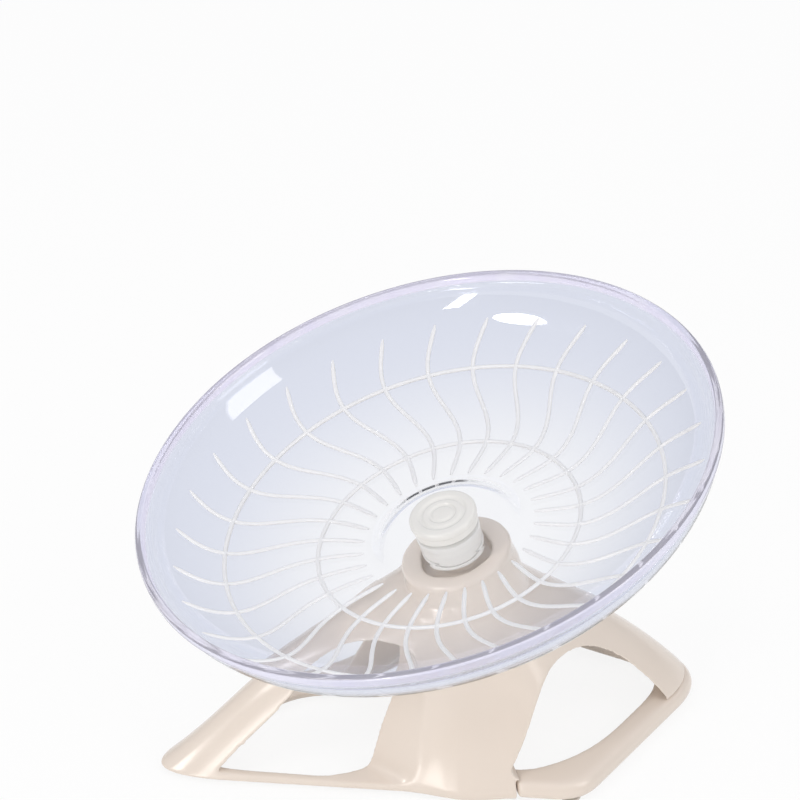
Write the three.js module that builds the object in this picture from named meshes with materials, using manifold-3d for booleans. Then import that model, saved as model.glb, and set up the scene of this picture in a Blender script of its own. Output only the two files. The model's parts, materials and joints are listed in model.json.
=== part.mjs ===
// Flying saucer exercise wheel: a clear ribbed dish that spins on a ball bearing,
// on a tilted axle held by an ivory stand with four legs.
// Millimetres, +Z up. The stand rests on Z = 0 and the dish leans towards -Y.
import * as THREE from 'three';
import { mergeVertices } from 'three/addons/utils/BufferGeometryUtils.js';
import Module from 'manifold-3d';

const wasm = await Module();
wasm.setup();

// Shared fits
const seatGap = 0.3;
const cutOverrun = 1;
const jointOverlap = 0.4;
const mergeDistance = 0.0001;

// Dish
const dishRadius = 90;
const dishTilt = THREE.MathUtils.degToRad(15.55);
const rimHeight = 101;
const dishWall = 2;
const dishDepth = 28;
const floorRadius = 39;
const lipWidth = 2.8;
const lipDrop = 1.1;
const rimBand = 3;
const rimUndercut = 0.8;
const dishFacets = 48;
const bowlSteps = 5;
const searchSteps = 30;

// Rib web moulded on the inside of the dish
const ribCount = 30;
const ribWidth = 1.5;
const ribHeight = 0.8;
const ribBossMargin = 2;
const ribRimMargin = 8.2;
const ribSteps = 8;
const ribSway = THREE.MathUtils.degToRad(4.1);
const ribLean = THREE.MathUtils.degToRad(1.7);
const ribPhase = THREE.MathUtils.degToRad(9.2);
const innerRingMargin = 1.8;
const outerRingMargin = 21.8;

// Raised clear boss round the hub
const bossRadius = 24.5;
const bossTopRadius = 19.5;
const bossRise = 3.2;

// Hub: one white column above and below the floor of the dish
const hubRadius = 10;
const hubFacets = 24;
const neckRadius = 7.6;
const neckClearance = 0.3;
const neckBoreRadius = 5.6;
const neckSetback = 0.2;
const collarHeight = 2.1;
const capOverhang = 0.4;
const capThickness = 2.2;
const capEdge = 1.2;
const capRingRadii = [3.6, 6.6];
const capRingDepth = 0.35;
const capRingWidth = 0.8;
const plugWall = 1.1;
const plugLength = 2;
const retainerThickness = 1.2;
const housingShoulder = 1;
const retainerHoleRadius = 4.9;
const collarNotches = 4;
const collarNotchDepth = 0.5;

// Ball bearing, 5 x 13 x 4
const bearingBore = 5;
const bearingOuter = 13;
const bearingWidth = 4;
const bearingFacets = 20;
const ballShare = 0.55;
const ballCount = 7;
const ballRings = 6;
const ballSectors = 10;
const ballGap = 0.12;
const raceWallShare = 0.3125;
const grooveSteps = 4;
const cageWallShare = 0.2;
const cageFloor = 0.48;
const cageLip = 0.1;
const pocketDetail = 1;

// Axle
const axleClearance = 0.3;
const boltHeadFlats = 8;
const boltHeadHeight = 3.5;
const spacerRadius = 3.6;
const washerThickness = 0.8;
const clipThickness = 0.8;
const clipRadius = 4.2;
const clipSlotWidth = 2.8;
const clipGrooveDepth = 0.5;
const axleTipLength = 1.1;
const axleChamfer = 0.5;

// Stand
const headRadius = 17.1;
const headGap = 2.2;
const headFillet = 1.4;
const headThickness = 11;
const frontReach = 83;
const rearReach = 86.5;
const sideReach = 48.8;
const sideSetback = 37.4;
const frontTipCut = 18.24;
const rearTipCut = 7.84;
const sideRounding = 9;
const insideRounding = 35;
const frontBand = 2.6;
const rearBand = 7;
const sideRoot = { depth: 12, place: -6, reach: 34 };
const wallRise = 3;
const toeRise = 0.6;
const frontBulge = 9;
const rearBulge = 4.5;
const sideHollow = 2;
const crownDrop = 6.2;
const crownRadius = 20.5;
const crownWall = 9;
const pocketRadius = 9.5;
const headSkirt = 7;
const neckFillet = 2;
const tipSteps = 3;
const rearSteps = 3;
const cornerSteps = 5;
const frontSteps = 7;
const tentShares = [0, 0.12, 0.28, 0.46, 0.64, 0.82, 1];
const windowSteps = 6;

// Side windows of the stand
const frontWindow = { toe: 15.5, rear: -4.2, headroom: 8, sill: 3.9, flare: 0.85 };
const rearWindow = { front: 17.7, heel: 12, headroom: 16.4, sill: 7.4 };
const windowShares = [-1, -0.87, -0.68, -0.52, -0.35, -0.17, 0, 0.17, 0.35, 0.52, 0.68, 0.87, 1];
const flareInsets = { sill: 12.8, top: 22.8 };

// Rear hoop, its joints and the rubber feet
const hoopSetback = 0.8;
const hoopSeam = 0.35;
const pegWidth = 3.2;
const pegHeight = 2.6;
const pegLength = 4;
const pegInset = 4.6;
const screwRadius = 1.5;
const screwHeadRadius = 2.8;
const screwHeadHeight = 1.6;
const screwLength = 9;
const screwFacets = 20;
const footRadius = 3.2;
const footThickness = 1.2;
const footChamfer = 0.4;
const frontFootInset = 9;
const rearFootInset = 8;
const sideFootInsets = { x: 5.8, y: 2.4 };

// Closed solid from triangle geometry, whichever way its faces turn
function toSolid(geometry) {
  const plain = geometry.clone();
  plain.deleteAttribute('normal');
  plain.deleteAttribute('uv');
  const merged = mergeVertices(plain, mergeDistance);
  const triangles = new Uint32Array(merged.index.array);
  const solid = new wasm.Manifold(new wasm.Mesh({
    numProp: 3,
    vertProperties: new Float32Array(merged.attributes.position.array),
    triVerts: triangles,
  }));
  if (solid.volume() > 0) return solid;
  for (let i = 0; i < triangles.length; i += 3) {
    [triangles[i], triangles[i + 1]] = [triangles[i + 1], triangles[i]];
  }
  return new wasm.Manifold(new wasm.Mesh({
    numProp: 3,
    vertProperties: new Float32Array(merged.attributes.position.array),
    triVerts: triangles,
  }));
}

function toGeometry(solid) {
  const mesh = solid.getMesh();
  const geometry = new THREE.BufferGeometry();
  geometry.setAttribute('position', new THREE.BufferAttribute(mesh.vertProperties, 3));
  geometry.setIndex(new THREE.BufferAttribute(mesh.triVerts, 1));
  geometry.computeVertexNormals();
  return geometry;
}

// A profile of [radius, height] turned about Z
function turned(profile, facets) {
  const points = profile.map(([radius, height]) => new THREE.Vector2(radius, height));
  return new THREE.LatheGeometry(points, facets).rotateX(Math.PI / 2);
}

function turnedSolid(profile, facets) {
  return toSolid(turned(profile, facets));
}

// A tube or disc about Z between two heights
function sleeve(inner, outer, low, high, facets) {
  const outline = inner > 0
    ? [[inner, low], [outer, low], [outer, high], [inner, high], [inner, low]]
    : [[0, low], [outer, low], [outer, high], [0, high]];
  return turnedSolid(outline, facets);
}

// Triangles that close a flat ring, turning the same way as the ring
function capTriangles(ring) {
  const normal = new THREE.Vector3();
  ring.forEach((point, i) => normal.add(point.clone().cross(ring[(i + 1) % ring.length])));
  const sizes = [Math.abs(normal.x), Math.abs(normal.y), Math.abs(normal.z)];
  const [u, v] = [['y', 'z'], ['x', 'z'], ['x', 'y']][sizes.indexOf(Math.max(...sizes))];
  const flat = ring.map((point) => new THREE.Vector2(point[u], point[v]));
  const triangles = THREE.ShapeUtils.triangulateShape(flat.map((point) => point.clone()), []);
  const turns = triangles.map((triangle) => THREE.ShapeUtils.area(triangle.map((i) => flat[i])));
  const agrees = Math.sign(turns[0]) === Math.sign(THREE.ShapeUtils.area(flat));
  return agrees ? triangles : triangles.map(([a, b, c]) => [c, b, a]);
}

// A closed solid over rings of equal point count, with flat ends
function loftedSolid(rings) {
  const count = rings[0].length;
  const last = (rings.length - 1) * count;
  const positions = rings.flat().flatMap((point) => [point.x, point.y, point.z]);
  const indices = [];
  for (let ring = 0; ring < rings.length - 1; ring++) {
    for (let i = 0; i < count; i++) {
      const a = ring * count + i;
      const b = ring * count + (i + 1) % count;
      indices.push(a, b, a + count, b, b + count, a + count);
    }
  }
  for (const [a, b, c] of capTriangles(rings[0])) indices.push(c, b, a);
  for (const [a, b, c] of capTriangles(rings.at(-1))) indices.push(last + a, last + b, last + c);
  const geometry = new THREE.BufferGeometry();
  geometry.setAttribute('position', new THREE.Float32BufferAttribute(positions, 3));
  geometry.setIndex(indices);
  return toSolid(geometry);
}

// Places of the tilted axis: depths are measured down from the rim plane
const axis = new THREE.Vector3(0, -Math.sin(dishTilt), Math.cos(dishTilt));
const rimCentre = new THREE.Vector3(0, 0, rimHeight);
const onAxis = (depth) => rimCentre.clone().addScaledVector(axis, -depth);

// Dish and hub
const floorUnder = dishDepth + dishWall;
const ribInnerRadius = bossRadius + ribBossMargin;
const ribOuterRadius = dishRadius - ribRimMargin;
const ringRadii = [floorRadius + innerRingMargin, dishRadius - outerRingMargin];
const plateTop = dishDepth - bossRise;
const plateUnder = plateTop + dishWall;
const collarTopDepth = plateTop - seatGap - collarHeight;
const neckTopDepth = collarTopDepth + neckSetback;
const capRadius = hubRadius + capOverhang;
const capTopDepth = collarTopDepth - seatGap - capThickness;
const housingTop = plateUnder + seatGap;
const boreRadius = bearingOuter / 2 + seatGap;
const boreTop = housingTop + seatGap + housingShoulder;
const bearingTop = boreTop + seatGap;
const bearingBottom = bearingTop + bearingWidth;
const retainerTop = bearingBottom + seatGap;

// Bearing and axle
const raceSection = (bearingOuter - bearingBore) / 2;
const ballDiameter = raceSection * ballShare;
const raceWall = raceSection * raceWallShare;
const cageWall = raceSection * cageWallShare;
const orbitRadius = (bearingBore + bearingOuter) / 4;
const axleRadius = bearingBore / 2 - axleClearance;
const washerTop = bearingTop - seatGap - washerThickness;
const clipTop = washerTop - seatGap - clipThickness;
const axleTop = clipTop - axleTipLength;

// Stand, windows and feet
const headTopDepth = retainerTop + retainerThickness + headGap;
const boltSeat = headTopDepth + headThickness;
const crownPlace = onAxis(headTopDepth + headSkirt).y;
const crownHeight = onAxis(headTopDepth + headSkirt).z - crownDrop;
const frontLine = -frontReach - frontTipCut;
const rearLine = rearReach + rearTipCut;
const frontSlope = sideReach / (sideSetback - frontLine);
const rearSlope = sideReach / (rearLine - sideSetback);
const footLift = footThickness + seatGap;
const windowReach = sideReach + cutOverrun;
const hoopFront = rearWindow.front + hoopSetback;
const frontFootPlace = frontFootInset - frontReach;
const rearFootPlace = rearReach - rearFootInset;

// The inside of the bowl from the floor up to the lip, as [radius, depth]
const bowlCurve = new THREE.CubicBezierCurve(
  new THREE.Vector2(floorRadius, dishDepth),
  new THREE.Vector2(floorRadius + (dishRadius - floorRadius) * 0.245, dishDepth),
  new THREE.Vector2(dishRadius - lipWidth, dishDepth * 0.68),
  new THREE.Vector2(dishRadius - lipWidth, lipDrop),
);

// Clear dish: floor, curved wall, rolled rim and raised boss in one moulding
function dishProfile() {
  const inside = bowlCurve.getPoints(bowlSteps);
  const outside = inside.map((point, i) => {
    const tangent = bowlCurve.getTangent(i / bowlSteps);
    return new THREE.Vector2(point.x - tangent.y * dishWall, point.y + tangent.x * dishWall);
  }).filter((point) => point.y > rimBand);
  const rimOuter = dishRadius;
  const plateHole = neckRadius + neckClearance;
  const bossUnder = bossTopRadius - dishWall * 0.4;
  return [
    [plateHole, -plateTop],
    [bossTopRadius - bossRise * 0.4, -plateTop],
    [bossTopRadius, -plateTop - bossRise * 0.15],
    [bossRadius, -dishDepth],
    ...inside.map((point) => [point.x, -point.y]),
    [rimOuter - lipWidth * 0.8, 0],
    [rimOuter - lipWidth * 0.2, 0],
    [rimOuter, -lipDrop * 0.6],
    [rimOuter, -rimBand],
    ...outside.reverse().map((point) => [Math.min(point.x, rimOuter - rimUndercut), -point.y]),
    [bossRadius - dishWall * 0.5, -floorUnder],
    [bossUnder, -plateUnder],
    [plateHole, -plateUnder],
    [plateHole, -plateTop],
  ];
}

// Depth of the inner bowl surface at a radius
function bowlDepth(radius) {
  if (radius <= floorRadius) return dishDepth;
  let low = 0;
  let high = 1;
  for (let i = 0; i < searchSteps; i++) {
    const middle = (low + high) / 2;
    if (bowlCurve.getPoint(middle).x < radius) low = middle;
    else high = middle;
  }
  return bowlCurve.getPoint(low).y;
}

// One rib: an S-curve in plan that lies on the bowl, three-sided, sharp end upwards
function rib(turn) {
  const rings = [];
  for (let step = 0; step <= ribSteps; step++) {
    const share = step / ribSteps;
    const radius = ribInnerRadius + (ribOuterRadius - ribInnerRadius) * share;
    const angle = turn - ribLean * (1 - share) - ribSway * Math.sin(2 * Math.PI * share);
    const depth = bowlDepth(radius);
    const before = bowlDepth(radius - ribHeight);
    const slope = (bowlDepth(radius + ribHeight) - before) / (2 * ribHeight);
    const run = Math.hypot(1, slope);
    const inward = new THREE.Vector3(slope / run, 0, 1 / run);
    const taper = step === 0 || step === ribSteps ? 0.6 : 1;
    const foot = new THREE.Vector3(radius, 0, -depth).addScaledVector(inward, -jointOverlap);
    const top = new THREE.Vector3(radius, 0, -depth).addScaledVector(inward, ribHeight * taper);
    const side = new THREE.Vector3(0, ribWidth * 0.5 * taper, 0);
    const section = [foot.clone().add(side), foot.clone().sub(side), top];
    rings.push(section.map((point) => point.applyAxisAngle(new THREE.Vector3(0, 0, 1), angle)));
  }
  return loftedSolid(rings);
}

// Concentric rib ring, three-sided like the ribs
function ribRing(radius) {
  const depth = bowlDepth(radius);
  return turnedSolid([
    [radius - ribWidth * 0.5, -depth - jointOverlap],
    [radius + ribWidth * 0.5, -depth - jointOverlap * 0.5],
    [radius, -depth + ribHeight],
    [radius - ribWidth * 0.5, -depth - jointOverlap],
  ], dishFacets);
}

function saucerGeometry() {
  let dish = turnedSolid(dishProfile(), dishFacets);
  const ribs = [];
  for (let i = 0; i < ribCount; i++) {
    ribs.push(rib(ribPhase + i * 2 * Math.PI / ribCount));
  }
  dish = wasm.Manifold.union([dish, ...ribs, ...ringRadii.map(ribRing)]);
  return toGeometry(dish);
}

// Lower half of the hub: it holds the bearing, and its neck rises through the dish
function housingSolid() {
  return turnedSolid([
    [boreRadius, -retainerTop + seatGap],
    [hubRadius, -retainerTop + seatGap],
    [hubRadius, -housingTop],
    [neckRadius, -housingTop],
    [neckRadius, -neckTopDepth],
    [neckBoreRadius, -neckTopDepth],
    [neckBoreRadius, -boreTop],
    [boreRadius, -boreTop],
    [boreRadius, -retainerTop + seatGap],
  ], hubFacets);
}

// Upper half of the hub: a notched collar on the neck that clamps the dish
function collarSolid() {
  const low = -plateTop + seatGap;
  const high = -collarTopDepth;
  let ring = sleeve(neckRadius + neckClearance, hubRadius, low, high, hubFacets);
  for (let i = 0; i < collarNotches; i++) {
    const notch = new THREE.BoxGeometry(
      collarNotchDepth * 2, collarNotchDepth * 2, (high - low) * 2,
    );
    notch.translate(hubRadius, 0, high);
    notch.rotateZ(i * 2 * Math.PI / collarNotches);
    ring = ring.subtract(toSolid(notch));
  }
  return ring;
}

// Cap with a rounded edge, two moulded rings and a plug that fits the neck
function capSolid() {
  const top = -capTopDepth;
  const under = top - capThickness;
  const plugRadius = neckBoreRadius - seatGap;
  const grooves = [...capRingRadii].reverse().flatMap((radius) => [
    [radius + capRingWidth, top],
    [radius + capRingWidth * 0.5, top - capRingDepth],
    [radius, top],
  ]);
  return turnedSolid([
    [0, under],
    [plugRadius - plugWall, under],
    [plugRadius - plugWall, under - plugLength],
    [plugRadius, under - plugLength],
    [plugRadius, under],
    [capRadius, under],
    [capRadius, top - capEdge],
    [capRadius - capEdge * 0.3, top - capEdge * 0.3],
    [capRadius - capEdge, top],
    ...grooves,
    [0, top],
  ], hubFacets);
}

// One race of the ball bearing, with its groove towards the balls
function raceSolid(plain, grooved) {
  const groove = ballDiameter / 2 + ballGap;
  const reach = Math.abs(orbitRadius - grooved);
  const spread = Math.asin(Math.sqrt(groove ** 2 - reach ** 2) / groove);
  const side = Math.sign(grooved - orbitRadius);
  const arc = [];
  for (let i = 0; i <= grooveSteps; i++) {
    const angle = spread * (2 * i / grooveSteps - 1);
    arc.push([orbitRadius + side * groove * Math.cos(angle), groove * Math.sin(angle)]);
  }
  const half = bearingWidth / 2;
  return turnedSolid([
    [plain, -half],
    [grooved, -half],
    ...arc,
    [grooved, half],
    [plain, half],
    [plain, -half],
  ], bearingFacets);
}

function ballGeometry() {
  return toGeometry(toSolid(new THREE.SphereGeometry(ballDiameter / 2, ballSectors, ballRings)));
}

// Crown cage: one ring under the balls, with pockets open to the top
function cageSolid() {
  const low = -ballDiameter / 2 - ballGap - cageFloor;
  const half = cageWall / 2;
  let ring = sleeve(orbitRadius - half, orbitRadius + half, low, cageLip, bearingFacets);
  for (let i = 0; i < ballCount; i++) {
    const pocket = new THREE.IcosahedronGeometry(ballDiameter / 2 + ballGap, pocketDetail);
    pocket.translate(orbitRadius, 0, 0).rotateZ(i * 2 * Math.PI / ballCount);
    ring = ring.subtract(toSolid(pocket));
  }
  return ring;
}

// Hex bolt from under the stand head, with a groove for the clip at its tip
function axleSolid() {
  const groove = axleRadius - clipGrooveDepth;
  const shank = turnedSolid([
    [0, -boltSeat - seatGap - jointOverlap],
    [axleRadius, -boltSeat - seatGap - jointOverlap],
    [axleRadius, -clipTop - clipThickness - axleClearance],
    [groove, -clipTop - clipThickness - axleClearance],
    [groove, -clipTop + axleClearance],
    [axleRadius, -clipTop + axleClearance],
    [axleRadius, -axleTop - axleChamfer],
    [axleRadius - axleChamfer, -axleTop],
    [0, -axleTop],
  ], hubFacets);
  const head = new THREE.CylinderGeometry(
    boltHeadFlats / Math.sqrt(3), boltHeadFlats / Math.sqrt(3), boltHeadHeight, 6,
  );
  head.rotateX(Math.PI / 2).translate(0, 0, -boltSeat - seatGap - boltHeadHeight / 2);
  return shank.add(toSolid(head));
}

// Open retaining clip in the groove of the axle
function clipSolid() {
  const inner = axleRadius - clipGrooveDepth + axleClearance;
  const ring = sleeve(inner, clipRadius, -clipTop - clipThickness, -clipTop, hubFacets);
  const slot = new THREE.BoxGeometry(clipRadius * 2, clipSlotWidth, clipThickness + 2 * cutOverrun);
  slot.translate(clipRadius, 0, -clipTop - clipThickness / 2);
  return ring.subtract(toSolid(slot));
}

// Plan of the stand: a kite with rounded corners, moved inwards by an inset for each side.
// It starts at the rear tip and runs round by the +X side.
function standPlan(frontInset, rearInset, rounding, swell) {
  const frontApex = frontLine + frontInset * Math.hypot(1, frontSlope) / frontSlope;
  const rearApex = rearLine - rearInset * Math.hypot(1, rearSlope) / rearSlope;
  const cornerY = (rearApex * rearSlope + frontApex * frontSlope) / (rearSlope + frontSlope);
  const onRear = (y) => new THREE.Vector2((rearApex - y) * rearSlope, y);
  const onFront = (y) => new THREE.Vector2((y - frontApex) * frontSlope, y);
  const rearEnd = onRear(rearApex - 2 * rearTipCut);
  const frontEnd = onFront(frontApex + 2 * frontTipCut);
  const rearRounding = Math.min(rounding * 0.7, (rearEnd.y - cornerY) * 0.8);
  const frontRounding = Math.min(rounding * 0.9, (cornerY - frontEnd.y) * 0.8);
  const beforeCorner = onRear(cornerY + rearRounding);
  const afterCorner = onFront(cornerY - frontRounding);
  const rearTip = new THREE.QuadraticBezierCurve(
    rearEnd.clone().setX(-rearEnd.x), new THREE.Vector2(0, rearApex), rearEnd,
  );
  const frontTip = new THREE.QuadraticBezierCurve(
    frontEnd, new THREE.Vector2(0, frontApex), frontEnd.clone().setX(-frontEnd.x),
  );
  const corner = new THREE.QuadraticBezierCurve(beforeCorner, onRear(cornerY), afterCorner);
  const half = [];
  for (let i = 0; i <= tipSteps; i++) half.push(rearTip.getPoint(0.5 + 0.5 * i / tipSteps));
  for (let i = 1; i < rearSteps; i++) half.push(rearEnd.clone().lerp(beforeCorner, i / rearSteps));
  for (let i = 0; i <= cornerSteps; i++) half.push(corner.getPoint(i / cornerSteps));
  for (let i = 1; i < frontSteps; i++) half.push(afterCorner.clone().lerp(frontEnd, i / frontSteps));
  for (let i = 0; i <= tipSteps; i++) half.push(frontTip.getPoint(0.5 * i / tipSteps));
  for (const point of half) {
    const near = Math.min(1, Math.abs(point.y - sideRoot.place) / sideRoot.reach);
    point.x -= swell * Math.cos(near * Math.PI / 2) ** 2;
  }
  const other = half.slice(1, -1).reverse().map((point) => point.clone().setX(-point.x));
  return [...half, ...other];
}

// Circle about the tilted axis, with one point for each point of a plan
function headRing(plan, radius, depth) {
  const centre = onAxis(depth);
  const back = new THREE.Vector3(0, Math.cos(dishTilt), Math.sin(dishTilt));
  return plan.map((point) => {
    const angle = Math.atan2(point.y - crownPlace, point.x);
    const across = new THREE.Vector3(radius * Math.cos(angle), 0, 0);
    return centre.clone().add(across).addScaledVector(back, radius * Math.sin(angle));
  });
}

// Tent-shaped skin from the plan of the feet up to a level crown
function tentRings(plan, low, topRadius, topHeight) {
  const rings = [plan.map((point) => new THREE.Vector3(point.x, point.y, low))];
  for (const share of tentShares) {
    const even = 4 * share * (1 - share);
    const high = 27 / 4 * share ** 2 * (1 - share);
    rings.push(plan.map((point) => {
      const out = new THREE.Vector3(point.x, point.y - crownPlace, 0).normalize();
      const rise = THREE.MathUtils.lerp(wallRise, toeRise, Math.max(0, -out.y) ** 4);
      const foot = new THREE.Vector3(point.x, point.y, footLift + rise);
      const top = new THREE.Vector3(0, crownPlace, topHeight).addScaledVector(out, topRadius);
      const ridge = out.y > 0 ? rearBulge * even : frontBulge * high;
      const bulge = ridge * out.y ** 2 - sideHollow * even * out.x ** 2;
      return foot.lerp(top, share).addScaledVector(out, bulge);
    }));
  }
  return rings;
}

// Side windows, drawn in the side view as [y, z] and run through both walls
function windowSolid(shape, shift) {
  const outline = shape.getPoints(windowSteps);
  if (outline[0].distanceTo(outline.at(-1)) < mergeDistance) outline.pop();
  const rings = windowShares.map((share) => outline.map((point) => {
    const lean = shift(windowReach * Math.abs(share), point);
    return new THREE.Vector3(windowReach * share, point.x + lean, point.y);
  }));
  return loftedSolid(rings);
}

function frontWindowSolid() {
  const { rear, sill, flare } = frontWindow;
  const front = frontWindow.toe - frontReach;
  const top = crownHeight - frontWindow.headroom;
  const span = rear - front;
  const rise = top - sill;
  const shape = new THREE.Shape();
  shape.moveTo(front, sill);
  shape.lineTo(front + span * 0.32, sill + rise * 0.45);
  shape.bezierCurveTo(
    front + span * 0.47, sill + rise * 0.67, front + span * 0.61, top, front + span * 0.86, top,
  );
  shape.bezierCurveTo(
    front + span * 1.01, top,
    front + span * 1.02, sill + rise * 0.67, front + span * 0.99, sill + rise * 0.35,
  );
  shape.bezierCurveTo(
    front + span * 0.975, sill + rise * 0.13, front + span * 0.95, sill, front + span * 0.85, sill,
  );
  shape.closePath();
  return windowSolid(shape, (x, point) => {
    const back = THREE.MathUtils.clamp((point.x - front) / span, 0, 1) ** 2;
    const up = (point.y - sill) / rise;
    const plane = sideReach - THREE.MathUtils.lerp(flareInsets.sill, flareInsets.top, up);
    return flare * Math.min(0, x - plane) * back * (1 - up ** 2);
  });
}

function rearWindowSolid() {
  const { front, sill } = rearWindow;
  const rear = rearReach - rearWindow.heel;
  const top = crownHeight - rearWindow.headroom;
  const span = rear - front;
  const rise = top - sill;
  const shape = new THREE.Shape();
  shape.moveTo(rear, sill);
  shape.bezierCurveTo(
    rear - span * 0.16, sill + rise * 0.48, rear - span * 0.42, top, front + span * 0.36, top,
  );
  shape.bezierCurveTo(
    front + span * 0.16, top, front + span * 0.16, sill + rise * 0.58, front, sill + rise * 0.1,
  );
  shape.quadraticCurveTo(front, sill, front + span * 0.07, sill);
  shape.closePath();
  return windowSolid(shape, () => 0);
}

function boxSolid(min, max) {
  const size = new THREE.Vector3().subVectors(max, min);
  const centre = new THREE.Vector3().addVectors(min, max).multiplyScalar(0.5);
  const box = new THREE.BoxGeometry(size.x, size.y, size.z);
  return toSolid(box.translate(centre.x, centre.y, centre.z));
}

// Whole stand before it is parted: tent, cavity, windows and the bolt hole in its head
function standSolid() {
  const plan = standPlan(0, 0, sideRounding, 0);
  const inside = standPlan(frontBand, rearBand, insideRounding, sideRoot.depth);
  const outer = tentRings(plan, footLift, crownRadius, crownHeight);
  outer.push(headRing(plan, headRadius + neckFillet * 0.3, headTopDepth + headSkirt));
  outer.push(headRing(plan, headRadius, headTopDepth + headSkirt * 0.5));
  outer.push(headRing(plan, headRadius, headTopDepth + headFillet));
  outer.push(headRing(plan, headRadius - headFillet * 0.3, headTopDepth + headFillet * 0.3));
  outer.push(headRing(plan, headRadius - headFillet, headTopDepth));
  const cavity = tentRings(
    inside, footLift - cutOverrun, crownRadius - crownWall, crownHeight - crownWall,
  );
  cavity.push(headRing(inside, pocketRadius, boltSeat));
  const boltHole = sleeve(
    0, axleRadius + seatGap, -boltSeat - cutOverrun, -headTopDepth + cutOverrun, hubFacets,
  ).rotate([THREE.MathUtils.radToDeg(dishTilt), 0, 0]).translate([0, 0, rimHeight]);
  return loftedSolid(outer)
    .subtract(loftedSolid(cavity))
    .subtract(frontWindowSolid())
    .subtract(rearWindowSolid())
    .subtract(boltHole);
}

// The peg that joins each end of the hoop to its side leg
function pegSolid(side, clearance, length) {
  const centre = (hoopFront - sideSetback) * frontSlope + sideReach - pegInset;
  const middle = footLift + (rearWindow.sill - footLift) / 2;
  const halfWidth = pegWidth / 2 + clearance;
  const halfHeight = pegHeight / 2 + clearance;
  return boxSolid(
    new THREE.Vector3(side * centre - halfWidth, hoopFront - length, middle - halfHeight),
    new THREE.Vector3(
      side * centre + halfWidth, hoopFront + jointOverlap + hoopSeam, middle + halfHeight,
    ),
  );
}

function upright(inner, outer, low, high, y) {
  return sleeve(inner, outer, low, high, screwFacets).translate([0, y, 0]);
}

// Upper frame: head, front leg, two side legs and the rear arm
function frameSolid(stand) {
  const tip = footLift + seatGap + screwLength;
  let frame = stand.subtract(boxSolid(
    new THREE.Vector3(-windowReach, hoopFront, 0),
    new THREE.Vector3(windowReach, rearReach + cutOverrun, rearWindow.sill),
  ));
  for (const side of [-1, 1]) frame = frame.subtract(pegSolid(side, seatGap, pegLength + seatGap));
  return frame.subtract(upright(0, screwRadius + seatGap, 0, tip + seatGap, rearFootPlace));
}

// Rear hoop: the low band that joins the side legs round the rear foot
function hoopSolid(stand) {
  const headTop = footLift + seatGap + screwHeadHeight;
  let hoop = stand.intersect(boxSolid(
    new THREE.Vector3(-windowReach, hoopFront + hoopSeam, 0),
    new THREE.Vector3(windowReach, rearReach + cutOverrun, rearWindow.sill - hoopSeam),
  ));
  for (const side of [-1, 1]) hoop = hoop.add(pegSolid(side, 0, pegLength));
  hoop = hoop.subtract(upright(0, screwRadius + seatGap, 0, rearWindow.sill, rearFootPlace));
  return hoop.subtract(
    upright(0, screwHeadRadius + seatGap, 0, headTop + seatGap, rearFootPlace),
  );
}

function hoopScrewSolid() {
  const low = footLift + seatGap;
  return turnedSolid([
    [0, low],
    [screwHeadRadius, low],
    [screwHeadRadius, low + screwHeadHeight],
    [screwRadius, low + screwHeadHeight],
    [screwRadius, low + screwLength - screwRadius],
    [0, low + screwLength],
  ], screwFacets);
}

function footSolid() {
  return turnedSolid([
    [0, 0],
    [footRadius - footChamfer, 0],
    [footRadius, footChamfer],
    [footRadius, footThickness],
    [0, footThickness],
  ], screwFacets);
}

// Materials
const clearPlastic = new THREE.MeshStandardMaterial({
  color: '#f2f4fb', roughness: 0.05, metalness: 0, transparent: true, opacity: 0.35,
});
const surface = (color, roughness, metalness) => (
  new THREE.MeshStandardMaterial({ color, roughness, metalness })
);
const whitePlastic = surface('#f1f0ec', 0.35, 0);
const ivoryPlastic = surface('#e9dfd2', 0.3, 0);
const bearingSteel = surface('#c9cbcf', 0.2, 1);
const zincSteel = surface('#b7b9bb', 0.35, 1);
const nylon = surface('#ddd6c4', 0.5, 0);
const rubber = surface('#d9d4cc', 0.85, 0);

const wheel = new THREE.Group();

function addPiece(parent, name, geometry, material) {
  const mesh = new THREE.Mesh(geometry, material);
  mesh.name = name;
  parent.add(mesh);
  return mesh;
}

// Everything on the tilted axis
const spindle = new THREE.Group();
spindle.position.copy(rimCentre);
spindle.rotation.x = dishTilt;
wheel.add(spindle);

addPiece(spindle, 'saucer', saucerGeometry(), clearPlastic);
addPiece(spindle, 'hub_housing', toGeometry(housingSolid()), whitePlastic);
addPiece(spindle, 'hub_cap', toGeometry(capSolid()), whitePlastic);
addPiece(spindle, 'hub_collar', toGeometry(collarSolid()), whitePlastic);
addPiece(spindle, 'bearing_retainer', toGeometry(sleeve(
  retainerHoleRadius, hubRadius, -retainerTop - retainerThickness, -retainerTop, hubFacets,
)), whitePlastic);
addPiece(spindle, 'axle_bolt', toGeometry(axleSolid()), zincSteel);
addPiece(spindle, 'axle_clip', toGeometry(clipSolid()), zincSteel);
addPiece(spindle, 'axle_washer', toGeometry(sleeve(
  axleRadius + axleClearance, spacerRadius, -washerTop - washerThickness, -washerTop, hubFacets,
)), zincSteel);
addPiece(spindle, 'axle_spacer', toGeometry(sleeve(
  axleRadius + axleClearance, spacerRadius,
  -headTopDepth + seatGap, -bearingBottom - seatGap, hubFacets,
)), nylon);

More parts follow.
